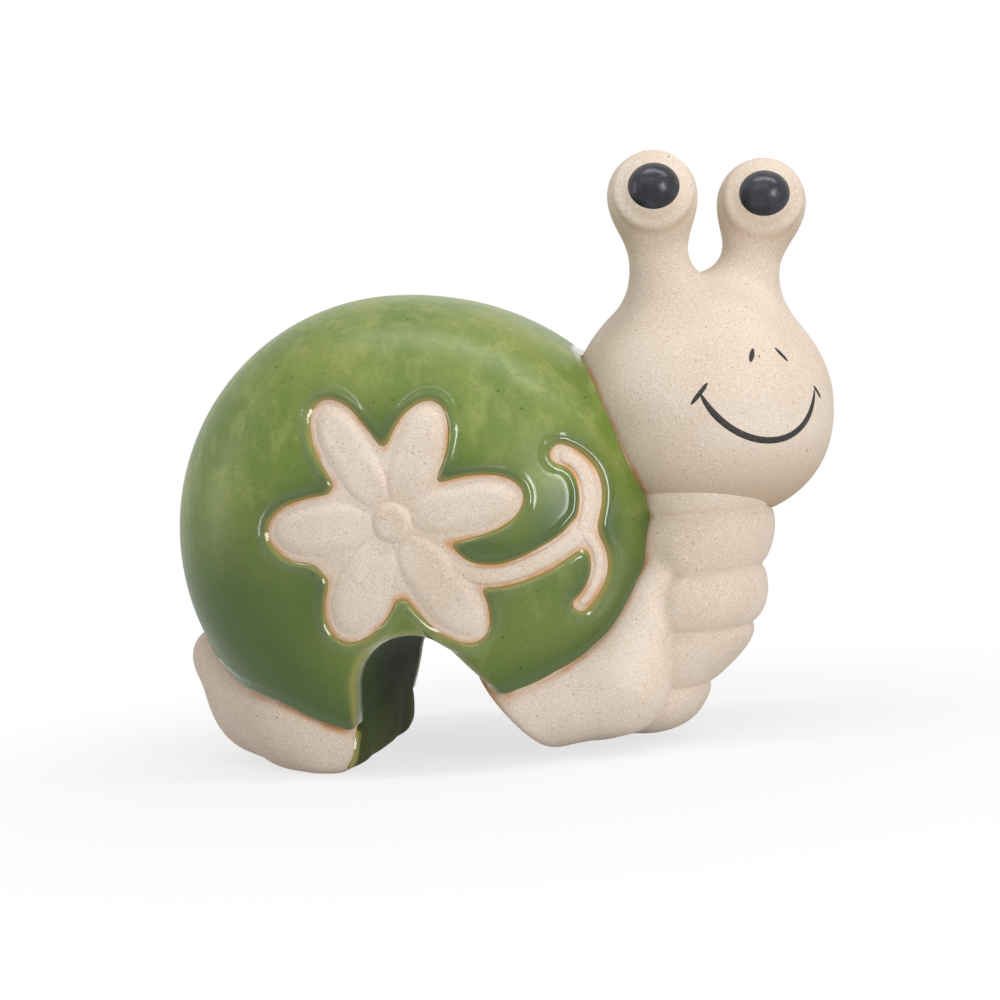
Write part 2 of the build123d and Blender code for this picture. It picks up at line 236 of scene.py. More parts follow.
def horseshoe(turns, near_steps, far_steps, wall_steps, radius):
    """Skin of the shell about the slot: the first parameter turns round the slot from foot to foot, and
    the second goes out over the near side, back over the far side and across the slot's wall, with a
    rounded lip at each side."""
    fine = np.radians(np.linspace(-40, 240, 5601))
    reach = slot_reach(fine, radius)
    clear = (fine < np.pi / 2) | (slot_centre_z + reach * np.sin(fine) > wall_foot)
    open_turns = fine[(rim_reach(fine) > reach) & clear]
    turn = np.linspace(open_turns[0], open_turns[-1], turns)[:, None]
    rim = rim_reach(turn)
    wall = np.minimum(slot_reach(turn, radius), rim)
    wall[[0, -1]] = rim[[0, -1]]

    def side(steps):
        share = 1 - (1 - np.linspace(0, 1, steps) ** 1.25) ** 2
        reach = wall + (rim - wall) * share
        x, z = slot_centre_x + reach * np.cos(turn), slot_centre_z + reach * np.sin(turn)
        rho = np.minimum(outline_share(x, z), 1)
        half = shell_half_width * (1 - rho**shell_fullness) ** (1 / shell_fullness)
        into = np.minimum(reach - wall, slot_lip)
        half = half - slot_lip + np.sqrt(slot_lip**2 - (slot_lip - into) ** 2)
        return x, np.maximum(half, 0), z

    x, half, z = side(near_steps)
    far_x, far_half, far_z = side(far_steps)
    cross = np.linspace(1, -1, wall_steps + 2)[1:-1]
    ones = np.ones(wall_steps)
    loop_x = np.concatenate([x, far_x[:, -2::-1], x[:, :1] * ones], 1)
    loop_y = np.concatenate([-half, far_half[:, -2::-1], half[:, :1] * cross], 1)
    loop_z = np.concatenate([z, far_z[:, -2::-1], z[:, :1] * ones], 1)
    return np.stack([loop_x, loop_y + shell_centre[1], loop_z], -1)


def quads(rows, columns, closed_rows=False, closed_columns=False):
    """Corner numbers of a grid's quads. A closed parameter joins its last line of points to its first."""
    row = np.arange(rows - (not closed_rows))[:, None]
    column = np.arange(columns - (not closed_columns))[None, :]
    next_row, next_column = (row + 1) % rows, (column + 1) % columns
    corners = [row * columns + column, next_row * columns + column]
    corners += [next_row * columns + next_column, row * columns + next_column]
    return np.stack(np.broadcast_arrays(*corners), -1).reshape(-1, 4)


def make_piece(name, points, faces, finish, nodes, marks=None):
    """Makes a smooth closed mesh of points in millimetres, merges its poles and seams, and seats it on
    the body."""
    mesh = bpy.data.meshes.new(name + "_form")
    mesh.from_pydata(points.reshape(-1, 3) * mm, [], faces)
    for mark, values in (marks or {}).items():
        layer = mesh.attributes.new(mark, "FLOAT", "POINT")
        layer.data.foreach_set("value", np.ascontiguousarray(values, np.float32).ravel())
    sewn = bmesh.new()
    sewn.from_mesh(mesh)
    bmesh.ops.remove_doubles(sewn, verts=sewn.verts, dist=2e-6)
    bmesh.ops.recalc_face_normals(sewn, faces=sewn.faces)
    sewn.to_mesh(mesh)
    sewn.free()
    mesh.polygons.foreach_set("use_smooth", np.ones(len(mesh.polygons), bool))
    mesh.materials.append(finish)
    piece = bpy.data.objects.new(name + "_form", mesh)
    bpy.context.collection.objects.link(piece)
    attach(piece, "root")
    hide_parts(*nodes)
    return piece


def paint(red, green, blue):
    """A colour as the eye reads it, from 0 to 255, turned into light."""
    share = np.array([red, green, blue]) / 255
    light = np.where(share < 0.04045, share / 12.92, ((share + 0.055) / 1.055) ** 2.4)
    return (*light, 1)


def new_finish(name):
    finish = bpy.data.materials.new(name)
    finish.use_nodes = True
    finish.node_tree.nodes.clear()
    return finish, Shade(finish.node_tree)


def spots(canvas, place, per_metre, size, chance):
    """Round specks: one where a cell of a random pattern holds a speck and the point is within its own
    size."""
    settings = {"feature": "F1"}
    cell = canvas.node("TexVoronoi", settings, {"Vector": place, "Scale": per_metre})
    tint = Shade(canvas.tree, cell.socket.node.outputs["Color"])
    parts = canvas.node("SeparateColor", {}, {0: tint})
    second = Shade(canvas.tree, parts.socket.node.outputs[1])
    held = parts.math("LESS_THAN", parts, chance)
    limit = second * size + size * 0.35
    return held * (limit - cell).ramp(0, size * 0.5)


clay, canvas = new_finish("speckled_stoneware")
place = canvas.node("TexCoord", {}, {}, 3)
glaze_gap = canvas.node("Attribute", {"attribute_name": "glaze_gap"}, {}, 2)
cloud = canvas.node("TexNoise", {}, {"Vector": place, "Scale": 45, "Detail": 3})
grain = canvas.node("TexNoise", {}, {"Vector": place, "Scale": 2200, "Detail": 2})
patch = canvas.node("TexNoise", {}, {"Vector": place, "Scale": 110, "Detail": 2})
body_tint = cloud.ramp(0.3, 0.7).blend(paint(215, 198, 179), paint(225, 210, 194))
body_tint = (grain.ramp(0.52, 0.74) * 0.5).blend(body_tint, paint(180, 154, 126))
body_tint = (grain.ramp(0.46, 0.28) * 0.50).blend(body_tint, paint(246, 236, 224))
body_tint = (spots(canvas, place, 700, 0.16, 0.55) * 0.60).blend(body_tint, paint(150, 116, 86))
body_tint = (spots(canvas, place, 300, 0.10, 0.14) * 0.75).blend(body_tint, paint(104, 76, 54))
# Painted shade: where the head's skin faces down it is darkened and browned, as shade under the head and
# its bulbs, in the brown tone of kiln flash.
shade_and_flash = canvas.node("Attribute", {"attribute_name": "underside_shade_and_flash"}, {}, 2)
body_tint = (shade_and_flash * (0.45 + cloud * 0.6)).blend(body_tint, paint(160, 130, 90))
near_glaze = 1 - glaze_gap.ramp(0.1, 1.6)
toast = near_glaze * (patch.ramp(0.35, 0.66) * 0.65 + 0.2)
body_tint = toast.blend(body_tint, paint(206, 142, 78))
pits = canvas.node("Bump", {}, {"Strength": 0.22, "Distance": 0.0002, "Height": grain})
bare = canvas.node(
    "BsdfPrincipled",
    {},
    {
        "Base Color": body_tint,
        "Roughness": 0.72 - near_glaze * 0.2,
        "Normal": pits,
        "Specular IOR Level": 0.3,
    },
)
canvas.node("OutputMaterial", {}, {"Surface": bare})


def bare_marks(points, gap):
    """The mark that toasts bare clay: its distance from the glaze's edge."""
    return {"glaze_gap": np.maximum(gap(points), 0)}


shell_skin = horseshoe(200, 110, 50, 14, slot_radius)
shell_faces = quads(*shell_skin.shape[:2], closed_columns=True)

# The tail foot: a solid bare lobe behind the slot, pressed in a mould, whose tip rises at the back. It is
# flat below, its front face is one wall of the slot, and the shell is luted into its top.

tail_centre = np.array([shell_low[0] + 34.7, shell_centre[1], 15.0])
tail_half = (40.6, 28.0, 16.0)
tail_rise = np.radians(27.8)
tail_fullness = 2.2
tail_depth = 17
heel_spine = np.array([[-71.5, 3.3, 16.1], [-55.2, 18.7, 14.3], [-45.5, 23.3, 5.4]])
heel_radii = (14.4, 15.7, 13.9)
keel_spine = np.array([[-72.0, 0.0, 17.5], [-46.0, 0.0, 8.0]])
keel_radii = (13.0, 14.5)
clay_step = 0.85


def soft_union(first, second, fillet):
    """The lesser of two distances, with a hollow fillet of about this width where they cross."""
    share = np.clip(0.5 + 0.5 * (second - first) / fillet, 0, 1)
    return second + (first - second) * share - fillet * share * (1 - share)


def soft_cut(first, second, fillet):
    """The greater of two distances, with the edge between them rounded."""
    return -soft_union(-first, -second, fillet)


def steep_wall(p):
    """Distance of a point in front of the slot's steep wall, which leans forward as it rises."""
    wall_x = slot_centre_x - slot_radius + steep_lean * (p[..., 2] - slot_centre_z)
    return (p[..., 0] - wall_x) * np.cos(slot_steep)


def rod(p, start, end, start_radius, end_radius):
    """Distance from a round rod between two points, whose radius changes evenly along it."""
    run = end - start
    share = np.clip((p - start) @ run / (run @ run), 0, 1)
    gap = np.linalg.norm(p - start - share[..., None] * run, axis=-1)
    return gap - start_radius - (end_radius - start_radius) * share


def mirrored(p):
    """Points of both sides brought to the far side of the snail's middle plane, with y measured from that
    plane."""
    return np.stack([p[..., 0], np.abs(p[..., 1] - shell_centre[1]), p[..., 2]], -1)


def tail_lobe(p):
    """A lobe tilted up at its tip, an ellipse along its length over a full superellipse across, on a keel
    of a round rod, with a rounded heel on each side of it towards the slot."""
    q = p - tail_centre
    along = q[..., 0] * np.cos(tail_rise) - q[..., 2] * np.sin(tail_rise)
    up = q[..., 0] * np.sin(tail_rise) + q[..., 2] * np.cos(tail_rise)
    across = np.abs(q[..., 1] / tail_half[1]) ** tail_fullness + np.abs(up / tail_half[2]) ** tail_fullness
    tip = (np.hypot(along / tail_half[0], across ** (1 / tail_fullness)) - 1) * tail_depth
    back = rod(mirrored(p), heel_spine[0], heel_spine[1], heel_radii[0], heel_radii[1])
    heel = rod(mirrored(p), heel_spine[1], heel_spine[2], heel_radii[1], heel_radii[2])
    keel = rod(mirrored(p), keel_spine[0], keel_spine[1], keel_radii[0], keel_radii[1])
    return soft_union(soft_union(soft_union(tip, keel, 8.0), back, 6.3), heel, 4.6)


def tail_wall(p):
    """The steep wall with the sole below it, and a wide rounding between them."""
    return soft_cut(steep_wall(p), -p[..., 2], 6.0)


def tail_field(p):
    return soft_cut(tail_lobe(p), tail_wall(p), 3.0)


def slope(field, p, step=0.04):
    """The field's slope at points, from the differences over a small step each way along the axes."""
    steps = np.eye(3) * step
    return np.stack([(field(p + s) - field(p - s)) / (2 * step) for s in steps], -1)


def settled(field, p, lift=0.0, rounds=3):
    """Points drawn on to the skin of a field down its slope, then raised square to it by the lift."""
    for _ in range(rounds):
        fall = slope(field, p)
        p = p - fall * (field(p) / np.maximum((fall**2).sum(-1), 1e-6))[..., None]
    fall = slope(field, p)
    fall = fall / np.maximum(np.linalg.norm(fall, axis=-1, keepdims=True), 1e-9)
    return p + fall * np.asarray(lift)[..., None]


def skin(field, low, high, step):
    """Closed skin of a field: each crossed cell of a lattice holds one point, at the mean of the
    crossings on its edges, settled on to the field's zero, and each crossed edge of the lattice joins its
    four cells with a quad."""
    axes = [np.arange(a, b + step, step) for a, b in zip(low, high)]
    value = field(np.stack(np.meshgrid(*axes, indexing="ij"), -1))
    cells = np.array(value.shape) - 1
    total, count = np.zeros((*cells, 3)), np.zeros(cells)
    for axis in range(3):
        others = [k for k in range(3) if k != axis]
        for far_one in (0, 1):
            for far_two in (0, 1):
                start = np.zeros(3, int)
                start[others] = far_one, far_two
                end = start + np.eye(3, dtype=int)[axis]
                a = value[tuple(slice(s, s + n) for s, n in zip(start, cells))]
                b = value[tuple(slice(s, s + n) for s, n in zip(end, cells))]
                crossed = (a < 0) != (b < 0)
                share = a / np.where(crossed, a - b, 1)
                total[crossed] += start + share[crossed][:, None] * np.eye(3)[axis]
                count += crossed
    live = count > 0
    number = np.cumsum(live).reshape(cells) - 1
    corner = np.stack([axes[k][i] for k, i in enumerate(np.nonzero(live))], -1)
    points = settled(field, corner + total[live] / count[live][:, None] * step)
    faces = []
    for axis in range(3):
        one, two = (axis + 1) % 3, (axis + 2) % 3
        lower = [slice(1, -1)] * 3
        lower[axis] = slice(0, -1)
        upper = list(lower)
        upper[axis] = slice(1, None)
        a, b = value[tuple(lower)] < 0, value[tuple(upper)] < 0
        at = np.stack(np.nonzero(a != b), -1)
        outward = a[a != b]
        at[:, [one, two]] += 1
        ring = []
        for back_one, back_two in ((0, 0), (1, 0), (1, 1), (0, 1)):
            shift = at.copy()
            shift[:, one] -= back_one
            shift[:, two] -= back_two
            ring.append(number[tuple(shift.T)])
        ring = np.stack(ring, -1)
        faces.append(np.where(outward[:, None], ring, ring[:, ::-1]))
    return points, np.concatenate(faces)


tail_skin, tail_faces = skin(tail_field, (-97, -40, -2), (-30, 41, 42), clay_step)
tail_marks = bare_marks(tail_skin, shell_field)
make_piece("tail_foot", tail_skin, tail_faces, clay, ["tail_foot"], tail_marks)

# The front body: the ribbed chest and the front foot with its two side lobes, solid clay pressed in one
# mould. It stands flat behind the slot's sloping wall, the shell is luted to its back, and it carries the
# head.

chest_spine = np.array([[53.0, 0.5, 66.5], [46.6, 0.5, 40.5], [33.0, 0.5, 22.0]])
chest_radii = (22.0, 22.6, 22.0)
rib_pitch, rib_groove_z, rib_depth = 15.6, 15.0, 3.0
foot_centre, foot_half = np.array([19.25, 0.5, 16.0]), np.array([27.0, 25.0, 16.5])
lobe_spine = np.array([[4.4, 20.3, 16.0], [29.4, 17.5, 19.5], [43.9, 15.0, 49.5]])
lobe_radii = (16.0, 14.0, 6.5)


def ellipsoid(p, centre, half):
    q = (p - centre) / half
    length = np.linalg.norm(q, axis=-1)
    return length * (length - 1) / np.maximum(np.linalg.norm(q / half, axis=-1), 1e-9)


def slope_wall(p):
    """Distance of a point behind the slot's sloping wall, on the side of the open slot."""
    foot_x = slot_centre_x + slot_radius + (slot_centre_z - p[..., 2]) * slope_lean
    return (foot_x - p[..., 0]) * np.cos(slot_slope)


def chest_field(p):
    """Two rods end to end, notched by level rounded grooves at an even pitch, which leave soft ribs
    between."""
    upper = rod(p, chest_spine[0], chest_spine[1], chest_radii[0], chest_radii[1])
    lower = rod(p, chest_spine[1], chest_spine[2], chest_radii[1], chest_radii[2])
    turn = (p[..., 2] - rib_groove_z) / rib_pitch
    off = 2 * np.abs(turn - np.floor(turn) - 0.5)
    return soft_union(upper, lower, 3.0) + rib_depth * (1 - np.sqrt(1.03 - off**2))


def foot_field(p):
    """A low dome with a lobe along each side, which bends up and narrows beside the chest."""
    low = rod(mirrored(p), lobe_spine[0], lobe_spine[1], lobe_radii[0], lobe_radii[1])
    high = rod(mirrored(p), lobe_spine[1], lobe_spine[2], lobe_radii[1], lobe_radii[2])
    return soft_union(ellipsoid(p, foot_centre, foot_half), soft_union(low, high, 5.0), 4.0)


def front_field(p):
    chest, foot = chest_field(p), foot_field(p)
    joined = soft_union(chest, foot, 1.2) + 0.8 * np.exp(-(((chest - foot) / 1.6) ** 2))
    return soft_cut(soft_cut(joined, slope_wall(p), 3.0), -p[..., 2], 5.0)


front_skin, front_faces = skin(front_field, (-12, -36, -2), (80, 37, 92), clay_step)
front_marks = bare_marks(front_skin, shell_field)
make_piece("front_body", front_skin, front_faces, clay, ["chest", "front_foot"], front_marks)

# The head: a hollow ball, turned towards the viewer, drawn up into two eye stalks that end in round
# bulbs. It is slip-cast in speckled clay in one mould with its stalks, and luted to the chest and the
# shell.

head_low, head_high = (np.array(corner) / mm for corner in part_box("head_casting"))
head_radius = (head_high[1] - head_low[1]) / 2 - 0.8
head_centre = np.array([head_high[0] - head_radius - 1.3, (head_low[1] + head_high[1]) / 2, 90.1])
head_above, head_below = 35.6, 32.0
head_depth = 31
eye_middle = head_centre + np.array([6.4, -5.5, 55.0])
eye_offset = np.array([13.7, 9.6, -1.6])
stalk_root = head_centre + np.array([2.7, -4.5, 22.4])
root_offset = np.array([9.6, 6.7, -0.5])
stalk_radii, bulb_radius = (8.0, 7.8), 11.7
pupil_look = np.array([0.171, -0.972, 0.164])
lip_radius, lip_thickness, lip_sink = 9.3, 1.4, 0.35


def head_field(p):
    """A ball that is a little pointed above and flatter below, with the rods of the stalks and the bulbs'
    spheres joined to it by wide fillets."""
    q = p - head_centre
    above = q[..., 2] > 0
    fullness = np.where(above, 1.8, 2.35)
    round_share = np.hypot(q[..., 0], q[..., 1]) / head_radius
    up_share = np.abs(q[..., 2]) / np.where(above, head_above, head_below)
    ball = ((round_share**fullness + up_share**fullness) ** (1 / fullness) - 1) * head_depth
    stalks = []
    for side in (-1, 1):
        bulb = eye_middle + side * eye_offset
        stalk = rod(p, stalk_root + side * root_offset, bulb, *stalk_radii)
        eye = soft_union(stalk, np.linalg.norm(p - bulb, axis=-1) - bulb_radius, 7.0)
        ahead = (p - bulb) @ pupil_look
        aside = np.linalg.norm(p - bulb - ahead[..., None] * pupil_look, axis=-1)
        lip_ahead = np.sqrt(bulb_radius**2 - lip_radius**2) - lip_sink
        lip = np.hypot(aside - lip_radius, ahead - lip_ahead) - lip_thickness
        stalks.append(soft_union(eye, lip, 1.6))
    return soft_union(ball, soft_union(*stalks, 3.0), 9.0)


head_skin, head_faces = skin(head_field, (14, -36, 55), (96, 45, 164), clay_step)
head_marks = bare_marks(head_skin, shell_field)
# Painted shade: this mark grows where the head's skin faces down, under the head and its bulbs, and is
# tinted the brown of kiln flash.
head_marks["underside_shade_and_flash"] = np.clip(-1.2 * slope(head_field, head_skin)[..., 2] - 0.15, 0, 1)
make_piece("head_casting", head_skin, head_faces, clay, ["head_casting"], head_marks)

# The flower: six petals, a disc, a stem and two tendrils of bare clay, rolled out, cut and luted on to
# the near side of the shell as soft pads. The glaze stops a little way round them.

flower_x, flower_z = shell_centre[0] + 5.9, shell_centre[2] + 4.2
petal_angles = np.radians([8, 67.5, 118.5, 181.5, 241, 303])
petal_reaches = (33.7, 32.0, 35.9, 33.0, 32.8, 36.7)
petal_half_widths = (7.2, 6.8, 7.0, 8.0, 8.2, 8.1)
petal_height, petal_edge = 1.1, 5.0
heart_radius, heart_sink, heart_spread = 10.5, 1.15, 110
disc_radius, disc_height = 5.8, 1.3
stem_points = ((20.0, -7.5), (29.2, -11.1), (38.1, -10.0), (47.3, -6.0), (54.0, -1.7))
upper_tendril_points = ((53.2, -3.0), (56.1, 6.5), (55.6, 11.5), (53.6, 15.8), (49.2, 18.5))
lower_tendril_points = ((53.1, -1.7), (56.8, -7.1), (56.8, -12.1), (55.2, -16.2), (51.4, -20.8))
stem_width, upper_width, lower_width, vine_height = 4.6, 3.8, 2.6, 0.75


def petal_gap(x, z, angle, reach, half_width):
    """About the distance in the plane from a petal's outline: an egg, half an ellipse towards the tip and
    a longer half towards the heart."""
    along = (x - flower_x) * np.cos(angle) + (z - flower_z) * np.sin(angle) - reach * 0.57
    aside = (z - flower_z) * np.cos(angle) - (x - flower_x) * np.sin(angle)
    long_half = np.where(along > 0, reach * 0.43, reach * 0.53)
    out = np.hypot(along / long_half, aside / half_width)
    return out * (out - 1) / np.maximum(np.hypot(along / long_half**2, aside / half_width**2), 1e-6)


def smooth_line(points, steps):
    """A cubic line through a few points, as even steps along their chords."""
    points = np.array(points)
    chord = np.concatenate([[0], np.cumsum(np.linalg.norm(np.diff(points, axis=0), axis=1))])
    share = chord / chord[-1]
    even = np.linspace(0, 1, steps)
    return np.stack([np.polyval(np.polyfit(share, points[:, k], 3), even) for k in (0, 1)], -1)


def on_shell(x, z, lift):
    """Points of the shell's near side over places in the plane of the disc, raised square to the skin by
    the lift."""
    rho = np.minimum(outline_share(x, z), 0.995)
    y = shell_centre[1] - shell_half_width * (1 - rho**shell_fullness) ** (1 / shell_fullness)
    return settled(shell_field, np.stack([x, y, z], -1), lift, 1)


def pad(reach, lay, height, edge, rings=22):
    """A soft pad: rays at even turns run from its middle to its outline, whose distance is the reach. The
    pad rises from just below what carries it to its height over the width of the edge, and a sheet below
    closes it."""
    turns = len(reach)
    turn = np.linspace(0, 2 * np.pi, turns, endpoint=False)[:, None]
    share = np.sin(np.linspace(0, np.pi / 2, rings))
    inward = np.minimum((1 - share) * reach[:, None] / edge, 1)
    rise = inward**1.4 * (2 - inward) ** 1.4 * (height + 0.3) - 0.3
    share = np.concatenate([share, share[-2::-3], [0]])
    lift = np.concatenate([rise, np.full((turns, len(share) - rings), -1.3)], 1)
    out = reach[:, None] * share
    return lay(out * np.cos(turn), out * np.sin(turn), lift), quads(*out.shape, closed_rows=True)


def raised_line(line, width, lay, height, sink=0.8, taper=1.0, around=14):
    """A raised line: its path carries a section that is half round above and a shallow keel below. Its
    ends are round, and over the taper's length its width grows to the full."""
    steps = len(line)
    run = np.gradient(line, axis=0)
    run = run / np.linalg.norm(run, axis=1, keepdims=True)
    travelled = np.concatenate([[0], np.cumsum(np.linalg.norm(np.diff(line, axis=0), axis=1))])
    end_gap = np.minimum(travelled, travelled[-1] - travelled) / (width / 2 * taper)
    swell = np.sqrt(1 - (1 - np.minimum(end_gap, 1)) ** 2)[:, None]
    turn = np.linspace(0, 2 * np.pi, around, endpoint=False)
    off = width / 2 * np.cos(turn) * swell
    lift = np.where(np.sin(turn) > 0, height, sink) * np.sin(turn) * swell - 0.1
    a = line[:, :1] - run[:, 1:] * off
    b = line[:, 1:] + run[:, :1] * off
    return lay(a, b, lift), quads(steps, around, closed_columns=True)


def turning_point(gap, count, longest):
    """Distances at which a gap that starts below nought rises above it, one for each of a number of rays,
    by halving."""
    low, high = np.zeros(count), np.full(count, longest)
    for _ in range(30):
        middle = (low + high) / 2
        inside = gap(middle) < 0
        low, high = np.where(inside, middle, low), np.where(inside, high, middle)
    return low


flower_forms = []
petal_turn = np.linspace(0, 2 * np.pi, 96, endpoint=False)
for angle, reach, half_width in zip(petal_angles, petal_reaches, petal_half_widths):
    middle_x = flower_x + np.cos(angle) * (reach * 0.56)
    middle_z = flower_z + np.sin(angle) * (reach * 0.56)

    def own_gap(out):
        x, z = middle_x + out * np.cos(petal_turn), middle_z + out * np.sin(petal_turn)
        return petal_gap(x, z, angle, reach, half_width)

    def own_place(x, z, lift):
        x, z = x + middle_x, z + middle_z
        heart = np.exp(-((x - flower_x) ** 2 + (z - flower_z) ** 2) / heart_spread)
        return on_shell(x, z, lift - heart_sink * heart)

    flower_forms.append(pad(turning_point(own_gap, 96, 30.0), own_place, petal_height, petal_edge))


def disc_place(x, z, lift):
    return on_shell(x + flower_x, z + flower_z, lift)


def vine_place(x, z, lift):
    return on_shell(x + shell_centre[0], z + shell_centre[2], lift)


stem_line = smooth_line(stem_points, 90)
upper_line = smooth_line(upper_tendril_points, 70)
lower_line = smooth_line(lower_tendril_points, 70)
flower_forms.append(pad(np.full(72, disc_radius), disc_place, disc_height, 2.6))
flower_forms.append(raised_line(stem_line, stem_width, vine_place, vine_height))
flower_forms.append(raised_line(upper_line, upper_width, vine_place, vine_height))
flower_forms.append(raised_line(lower_line, lower_width, vine_place, vine_height))
flower_names = [f"petal_{k}" for k in range(1, 7)]
flower_names += ["flower_disc", "flower_stem", "upper_tendril", "lower_tendril"]

# The glaze: a glassy green coat over the shell and into the slot, dipped after waxing the flower and the
# bare clay. It pools darker beside every edge and ends there in a rounded bead. Painted shade darkens it
# towards the foot and the lower back of the shell, and the slot's wall takes a darker copy of it as
# painted shade.

glaze_thickness, glaze_bead = 0.7, 0.55
bare_margin, vine_margin, seam_margin = 0.8, 0.7, 0.35
notch_turns, notch_reaches = np.radians([92.5, 149, 209, 271.5]), (16.3, 15.0, 18.0, 15.5)
notch_widths = (2.4, 2.6, 8.0, 4.2)
vines = ((stem_line, stem_width), (upper_line, upper_width), (lower_line, lower_width))


def line_gap(x, z, line, width):
    """Distance in the plane from a stroke round a line of points."""
    start, run = line[:-1] + shell_centre[[0, 2]], np.diff(line, axis=0)
    q = np.stack([x, z], -1)[..., None, :] - start
    share = np.clip((q * run).sum(-1) / (run**2).sum(-1), 0, 1)
    return np.linalg.norm(q - share[..., None] * run, axis=-1).min(-1) - width / 2


def flower_gap(x, z):
    """Distance in the plane from the flower: the least of its pieces' distances, with soft inner
    corners."""
    gap = np.hypot(x - flower_x, z - flower_z) - heart_radius
    for angle, reach, half_width in zip(petal_angles, petal_reaches, petal_half_widths):
        gap = soft_union(gap, petal_gap(x, z, angle, reach, half_width), 3.0)
    for turn, reach, width in zip(notch_turns, notch_reaches, notch_widths):
        spoke = np.array([[0, 0], [np.cos(turn) * reach, np.sin(turn) * reach]]) + (flower_x, flower_z)
        gap = soft_union(gap, line_gap(x, z, spoke - shell_centre[[0, 2]], width), 3.0)
    for line, width in vines:
        gap = soft_union(gap, line_gap(x, z, line[::4], width) + bare_margin - vine_margin, 2.0)
    return gap


def glaze_reach(p):
    """How far a point of the shell lies inside the glazed zone: its distance from the flower, on the near
    side, and from the bare castings, with a slight waver."""
    x, y, z = p[..., 0], p[..., 1], p[..., 2]
    waver = np.sin(x / 2.9 + 1.1) * np.sin(z / 3.3 + y / 4.1) + np.sin(x / 6.1 - z / 4.7 + y / 7.3)
    near_flower = np.where(y < shell_centre[1], flower_gap(x, z) - bare_margin, 50)
    others = [head_field(p), front_field(p), np.maximum(tail_lobe(p), steep_wall(p) + 3.0)]
    gap = np.minimum(near_flower, np.min(others, axis=0) - seam_margin)
    return gap + 0.16 * waver


def pooling_and_shade(p):
    """How much glaze has run together at a point: it flows down, so each obstacle holds most of it just
    above itself. Painted shade is added to it, growing towards the foot of the shell and at its lower
    back."""

    def held(gap, gap_below):
        return np.exp(-np.maximum(gap, 0) / 6.5) * np.clip(0.5 + (gap - gap_below) / 6, 0.1, 1)

    x, z = p[..., 0], p[..., 2]
    below = p - np.array([0, 0, 3.0])
    petals = zip(petal_angles, petal_reaches, petal_half_widths)
    flower = sum(held(petal_gap(x, z, *petal), petal_gap(x, z - 3, *petal)) for petal in petals)
    for line, width in vines:
        flower = flower + held(line_gap(x, z, line[::6], width), line_gap(x, z - 3, line[::6], width))
    pool_and_shade = np.where(p[..., 1] < shell_centre[1], flower, 0)
    for field in (front_field, tail_lobe):
        pool_and_shade = pool_and_shade + 1.2 * held(field(p), field(below))
    # Painted shade: darker towards the foot of the shell and at its lower back.
    painted_low_shade = 0.5 * np.clip((75 - z) / 50, 0, 1)
    painted_back_shade = 0.7 * np.clip((-30 - x) / 35, 0, 1) * np.clip((102 - z) / 50, 0, 1)
    return pool_and_shade + painted_low_shade + painted_back_shade


def lip_share(p):
    """One along the slot's rounded lip, where the glaze runs thin, and nought away from it."""
    x, z = p[..., 0] - slot_centre_x, p[..., 2] - slot_centre_z
    turn = np.mod(np.arctan2(z, x) + np.pi / 2, 2 * np.pi) - np.pi / 2
    return np.exp(-(((np.hypot(x, z) - slot_reach(turn, slot_radius) - 0.7) / 0.8) ** 2))


def coat(gap):
    """The glaze's thickness: below the clay where it is bare, a quick rise at the edge, a bead, then an
    even coat."""
    rise = np.where(gap > 0, glaze_thickness * (1 - np.exp(-np.maximum(gap, 0) / 0.55)), gap * 0.95)
    return np.maximum(rise, -1.0) + glaze_bead * np.exp(-(((gap - 1.3) / 0.85) ** 2))


def grid_normals(points):
    """Unit normals of a grid that is closed along its second parameter, out of the shell."""
    along = np.gradient(points, axis=0)
    round_loop = np.roll(points, -1, 1) - np.roll(points, 1, 1)
    normal = np.cross(round_loop, along)
    return normal / np.maximum(np.linalg.norm(normal, axis=-1, keepdims=True), 1e-9)


glaze, canvas = new_finish("green_glaze")
place = canvas.node("TexCoord", {}, {}, 3)
edge_gap = canvas.node("Attribute", {"attribute_name": "edge_gap"}, {}, 2)
slot_wall = canvas.node("Attribute", {"attribute_name": "slot_wall"}, {}, 2)
slot_edge = canvas.node("Attribute", {"attribute_name": "slot_edge"}, {}, 2)
pool_and_shade = canvas.node("Attribute", {"attribute_name": "pool_and_shade"}, {}, 2)
flow = canvas.node("Mapping", {}, {"Vector": place, "Scale": (1.0, 1.0, 0.6)})
cloud = canvas.node("TexNoise", {}, {"Vector": flow, "Scale": 48, "Detail": 4, "Roughness": 0.6})
mist = canvas.node("TexNoise", {}, {"Vector": flow, "Scale": 190, "Detail": 4, "Roughness": 0.6})
grain = canvas.node("TexNoise", {}, {"Vector": place, "Scale": 800, "Detail": 2})
tint = cloud.ramp(0.34, 0.68).blend(paint(100, 122, 42), paint(128, 141, 62))
tint = (mist.ramp(0.46, 0.70) * 0.5).blend(tint, paint(146, 154, 84))
tint = (grain.ramp(0.50, 0.74) * 0.30).blend(tint, paint(78, 92, 22))
